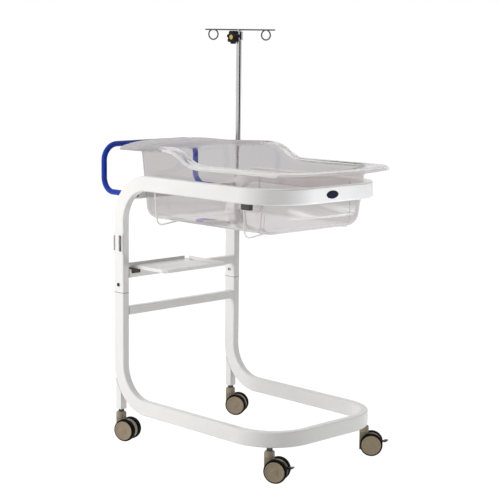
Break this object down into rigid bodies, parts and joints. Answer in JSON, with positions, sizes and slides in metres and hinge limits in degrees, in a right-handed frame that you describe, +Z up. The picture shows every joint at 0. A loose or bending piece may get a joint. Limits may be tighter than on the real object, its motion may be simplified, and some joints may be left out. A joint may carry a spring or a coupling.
{
  "type": "hospital bassinet",
  "caption": "Hospital bassinet: clear tub on a bent tube frame with casters, push handle, small shelf and drip pole.",
  "frame": {"origin": "On the floor under the middle of the whole bassinet's bounding box. The frame's middle plane lies 24.6 mm to -X of it, because the drip pole stands out to +X.", "axes": "+Z up. +Y towards the push handle at the head end, -Y towards the foot end. +X towards the side with the drip pole."},
  "size_m": [0.6268, 0.9467, 1.3915],
  "materials": {
    "white_paint": "smooth glossy powder coat",
    "blue_paint": "glossy coat",
    "steel": "zinc plated",
    "dark_steel": "blackened",
    "chrome": "bright plated",
    "black_plastic": "fine grain",
    "brass": "turned",
    "clear_acrylic": "clear, polished",
    "badge_blue": "glossy, blank",
    "tyre_black": "smooth non-marking rubber",
    "wheel_grey": "satin moulded",
    "hood_grey": "satin moulded"
  },
  "bodies": {
    "frame": {"base_frame": "white_paint", "top_frame": "white_paint", "joint_sleeves": "steel", "joint_bolts": "dark_steel", "joint_nuts": "steel", "top_crossbar": "white_paint", "shelf_crossbar": "white_paint", "lower_crossbar": "white_paint", "rear_posts": "white_paint", "front_stem_sockets": "steel", "rear_stem_sockets": "steel", "caster_stems": "steel", "push_handle": "blue_paint", "handle_plugs": "steel", "handle_bolts": "dark_steel", "cradle_rear": "white_paint", "cradle_front": "white_paint", "cradle_clips": "black_plastic", "slot_plate": "white_paint", "badge": "badge_blue", "iv_socket": "white_paint", "iv_socket_bolts": "steel"},
    "tub": {"tub": "clear_acrylic"},
    "tray": {"tray": "white_paint", "tray_clips": "black_plastic", "tray_screws": "steel"},
    "pole": {"pole_tube": "chrome", "pole_collar": "chrome"},
    "pole_rod": {"pole_rod": "chrome", "hanger": "chrome"},
    "knob": {"star_knob": "black_plastic", "knob_cap": "brass", "knob_stud": "steel"},
    "front_left_caster": {"front_left_hood": "hood_grey", "front_left_axle": "steel"},
    "front_left_inner_wheel": {"front_left_inner_tyre": "tyre_black", "front_left_inner_hub": "wheel_grey"},
    "front_left_outer_wheel": {"front_left_outer_tyre": "tyre_black", "front_left_outer_hub": "wheel_grey"},
    "front_left_brake": {"front_left_pedal": "black_plastic"},
    "front_right_caster": {"front_right_hood": "hood_grey", "front_right_axle": "steel"},
    "front_right_inner_wheel": {"front_right_inner_tyre": "tyre_black", "front_right_inner_hub": "wheel_grey"},
    "front_right_outer_wheel": {"front_right_outer_tyre": "tyre_black", "front_right_outer_hub": "wheel_grey"},
    "front_right_brake": {"front_right_pedal": "black_plastic"},
    "rear_left_caster": {"rear_left_hood": "hood_grey", "rear_left_axle": "steel"},
    "rear_left_inner_wheel": {"rear_left_inner_tyre": "tyre_black", "rear_left_inner_hub": "wheel_grey"},
    "rear_left_outer_wheel": {"rear_left_outer_tyre": "tyre_black", "rear_left_outer_hub": "wheel_grey"},
    "rear_right_caster": {"rear_right_hood": "hood_grey", "rear_right_axle": "steel"},
    "rear_right_inner_wheel": {"rear_right_inner_tyre": "tyre_black", "rear_right_inner_hub": "wheel_grey"},
    "rear_right_outer_wheel": {"rear_right_outer_tyre": "tyre_black", "rear_right_outer_hub": "wheel_grey"}
  },
  "joints": [
    {"name": "tub_lift", "type": "slide", "parent": "frame", "child": "tub", "axis": [0, 0, 1], "range_m": [0, 0.25]},
    {"name": "tray_slide", "type": "slide", "parent": "frame", "child": "tray", "axis": [1, 0, 0], "range_m": [-0.007, 0.165]},
    {"name": "pole_turn", "type": "hinge", "parent": "frame", "child": "pole", "pos_m": [0.25735, 0.3156, 0.774], "axis": [0, 0, 1], "continuous": true},
    {"name": "rod_slide", "type": "slide", "parent": "pole", "child": "pole_rod", "axis": [0, 0, 1], "range_m": [0, 0.4]},
    {"name": "knob_turn", "type": "hinge", "parent": "pole", "child": "knob", "pos_m": [0.24185, 0.3156, 1.363], "axis": [-1, 0, 0], "range_deg": [0, 360]},
    {"name": "front_left_swivel", "type": "hinge", "parent": "frame", "child": "front_left_caster", "pos_m": [-0.24612, -0.36377, 0.0971], "axis": [0, 0, 1], "continuous": true},
    {"name": "front_left_inner_spin", "type": "hinge", "parent": "front_left_caster", "child": "front_left_inner_wheel", "pos_m": [-0.234, -0.38564, 0.0375], "axis": [0.8746, 0.4848, 0], "continuous": true},
    {"name": "front_left_outer_spin", "type": "hinge", "parent": "front_left_caster", "child": "front_left_outer_wheel", "pos_m": [-0.234, -0.38564, 0.0375], "axis": [0.8746, 0.4848, 0], "continuous": true},
    {"name": "front_left_brake_press", "type": "hinge", "parent": "front_left_caster", "child": "front_left_brake", "pos_m": [-0.22963, -0.39351, 0.05], "axis": [0.8746, 0.4848, 0], "range_deg": [0, 12]},
    {"name": "front_right_swivel", "type": "hinge", "parent": "frame", "child": "front_right_caster", "pos_m": [0.19683, -0.36377, 0.0971], "axis": [0, 0, 1], "continuous": true},
    {"name": "front_right_inner_spin", "type": "hinge", "parent": "front_right_caster", "child": "front_right_inner_wheel", "pos_m": [0.2129, -0.38292, 0.0375], "axis": [0.766, 0.6428, 0], "continuous": true},
    {"name": "front_right_outer_spin", "type": "hinge", "parent": "front_right_caster", "child": "front_right_outer_wheel", "pos_m": [0.2129, -0.38292, 0.0375], "axis": [0.766, 0.6428, 0], "continuous": true},
    {"name": "front_right_brake_press", "type": "hinge", "parent": "front_right_caster", "child": "front_right_brake", "pos_m": [0.21868, -0.38982, 0.05], "axis": [0.766, 0.6428, 0], "range_deg": [0, 12]},
    {"name": "rear_left_swivel", "type": "hinge", "parent": "frame", "child": "rear_left_caster", "pos_m": [-0.2814, 0.3166, 0.0971], "axis": [0, 0, 1], "continuous": true},
    {"name": "rear_left_inner_spin", "type": "hinge", "parent": "rear_left_caster", "child": "rear_left_inner_wheel", "pos_m": [-0.27285, 0.29311, 0.0375], "axis": [0.9397, 0.342, 0], "continuous": true},
    {"name": "rear_left_outer_spin", "type": "hinge", "parent": "rear_left_caster", "child": "rear_left_outer_wheel", "pos_m": [-0.27285, 0.29311, 0.0375], "axis": [0.9397, 0.342, 0], "continuous": true},
    {"name": "rear_right_swivel", "type": "hinge", "parent": "frame", "child": "rear_right_caster", "pos_m": [0.2321, 0.3166, 0.0971], "axis": [0, 0, 1], "continuous": true},
    {"name": "rear_right_inner_spin", "type": "hinge", "parent": "rear_right_caster", "child": "rear_right_inner_wheel", "pos_m": [0.24535, 0.2954, 0.0375], "axis": [0.848, 0.5299, 0], "continuous": true},
    {"name": "rear_right_outer_spin", "type": "hinge", "parent": "rear_right_caster", "child": "rear_right_outer_wheel", "pos_m": [0.24535, 0.2954, 0.0375], "axis": [0.848, 0.5299, 0], "continuous": true}
  ]
}
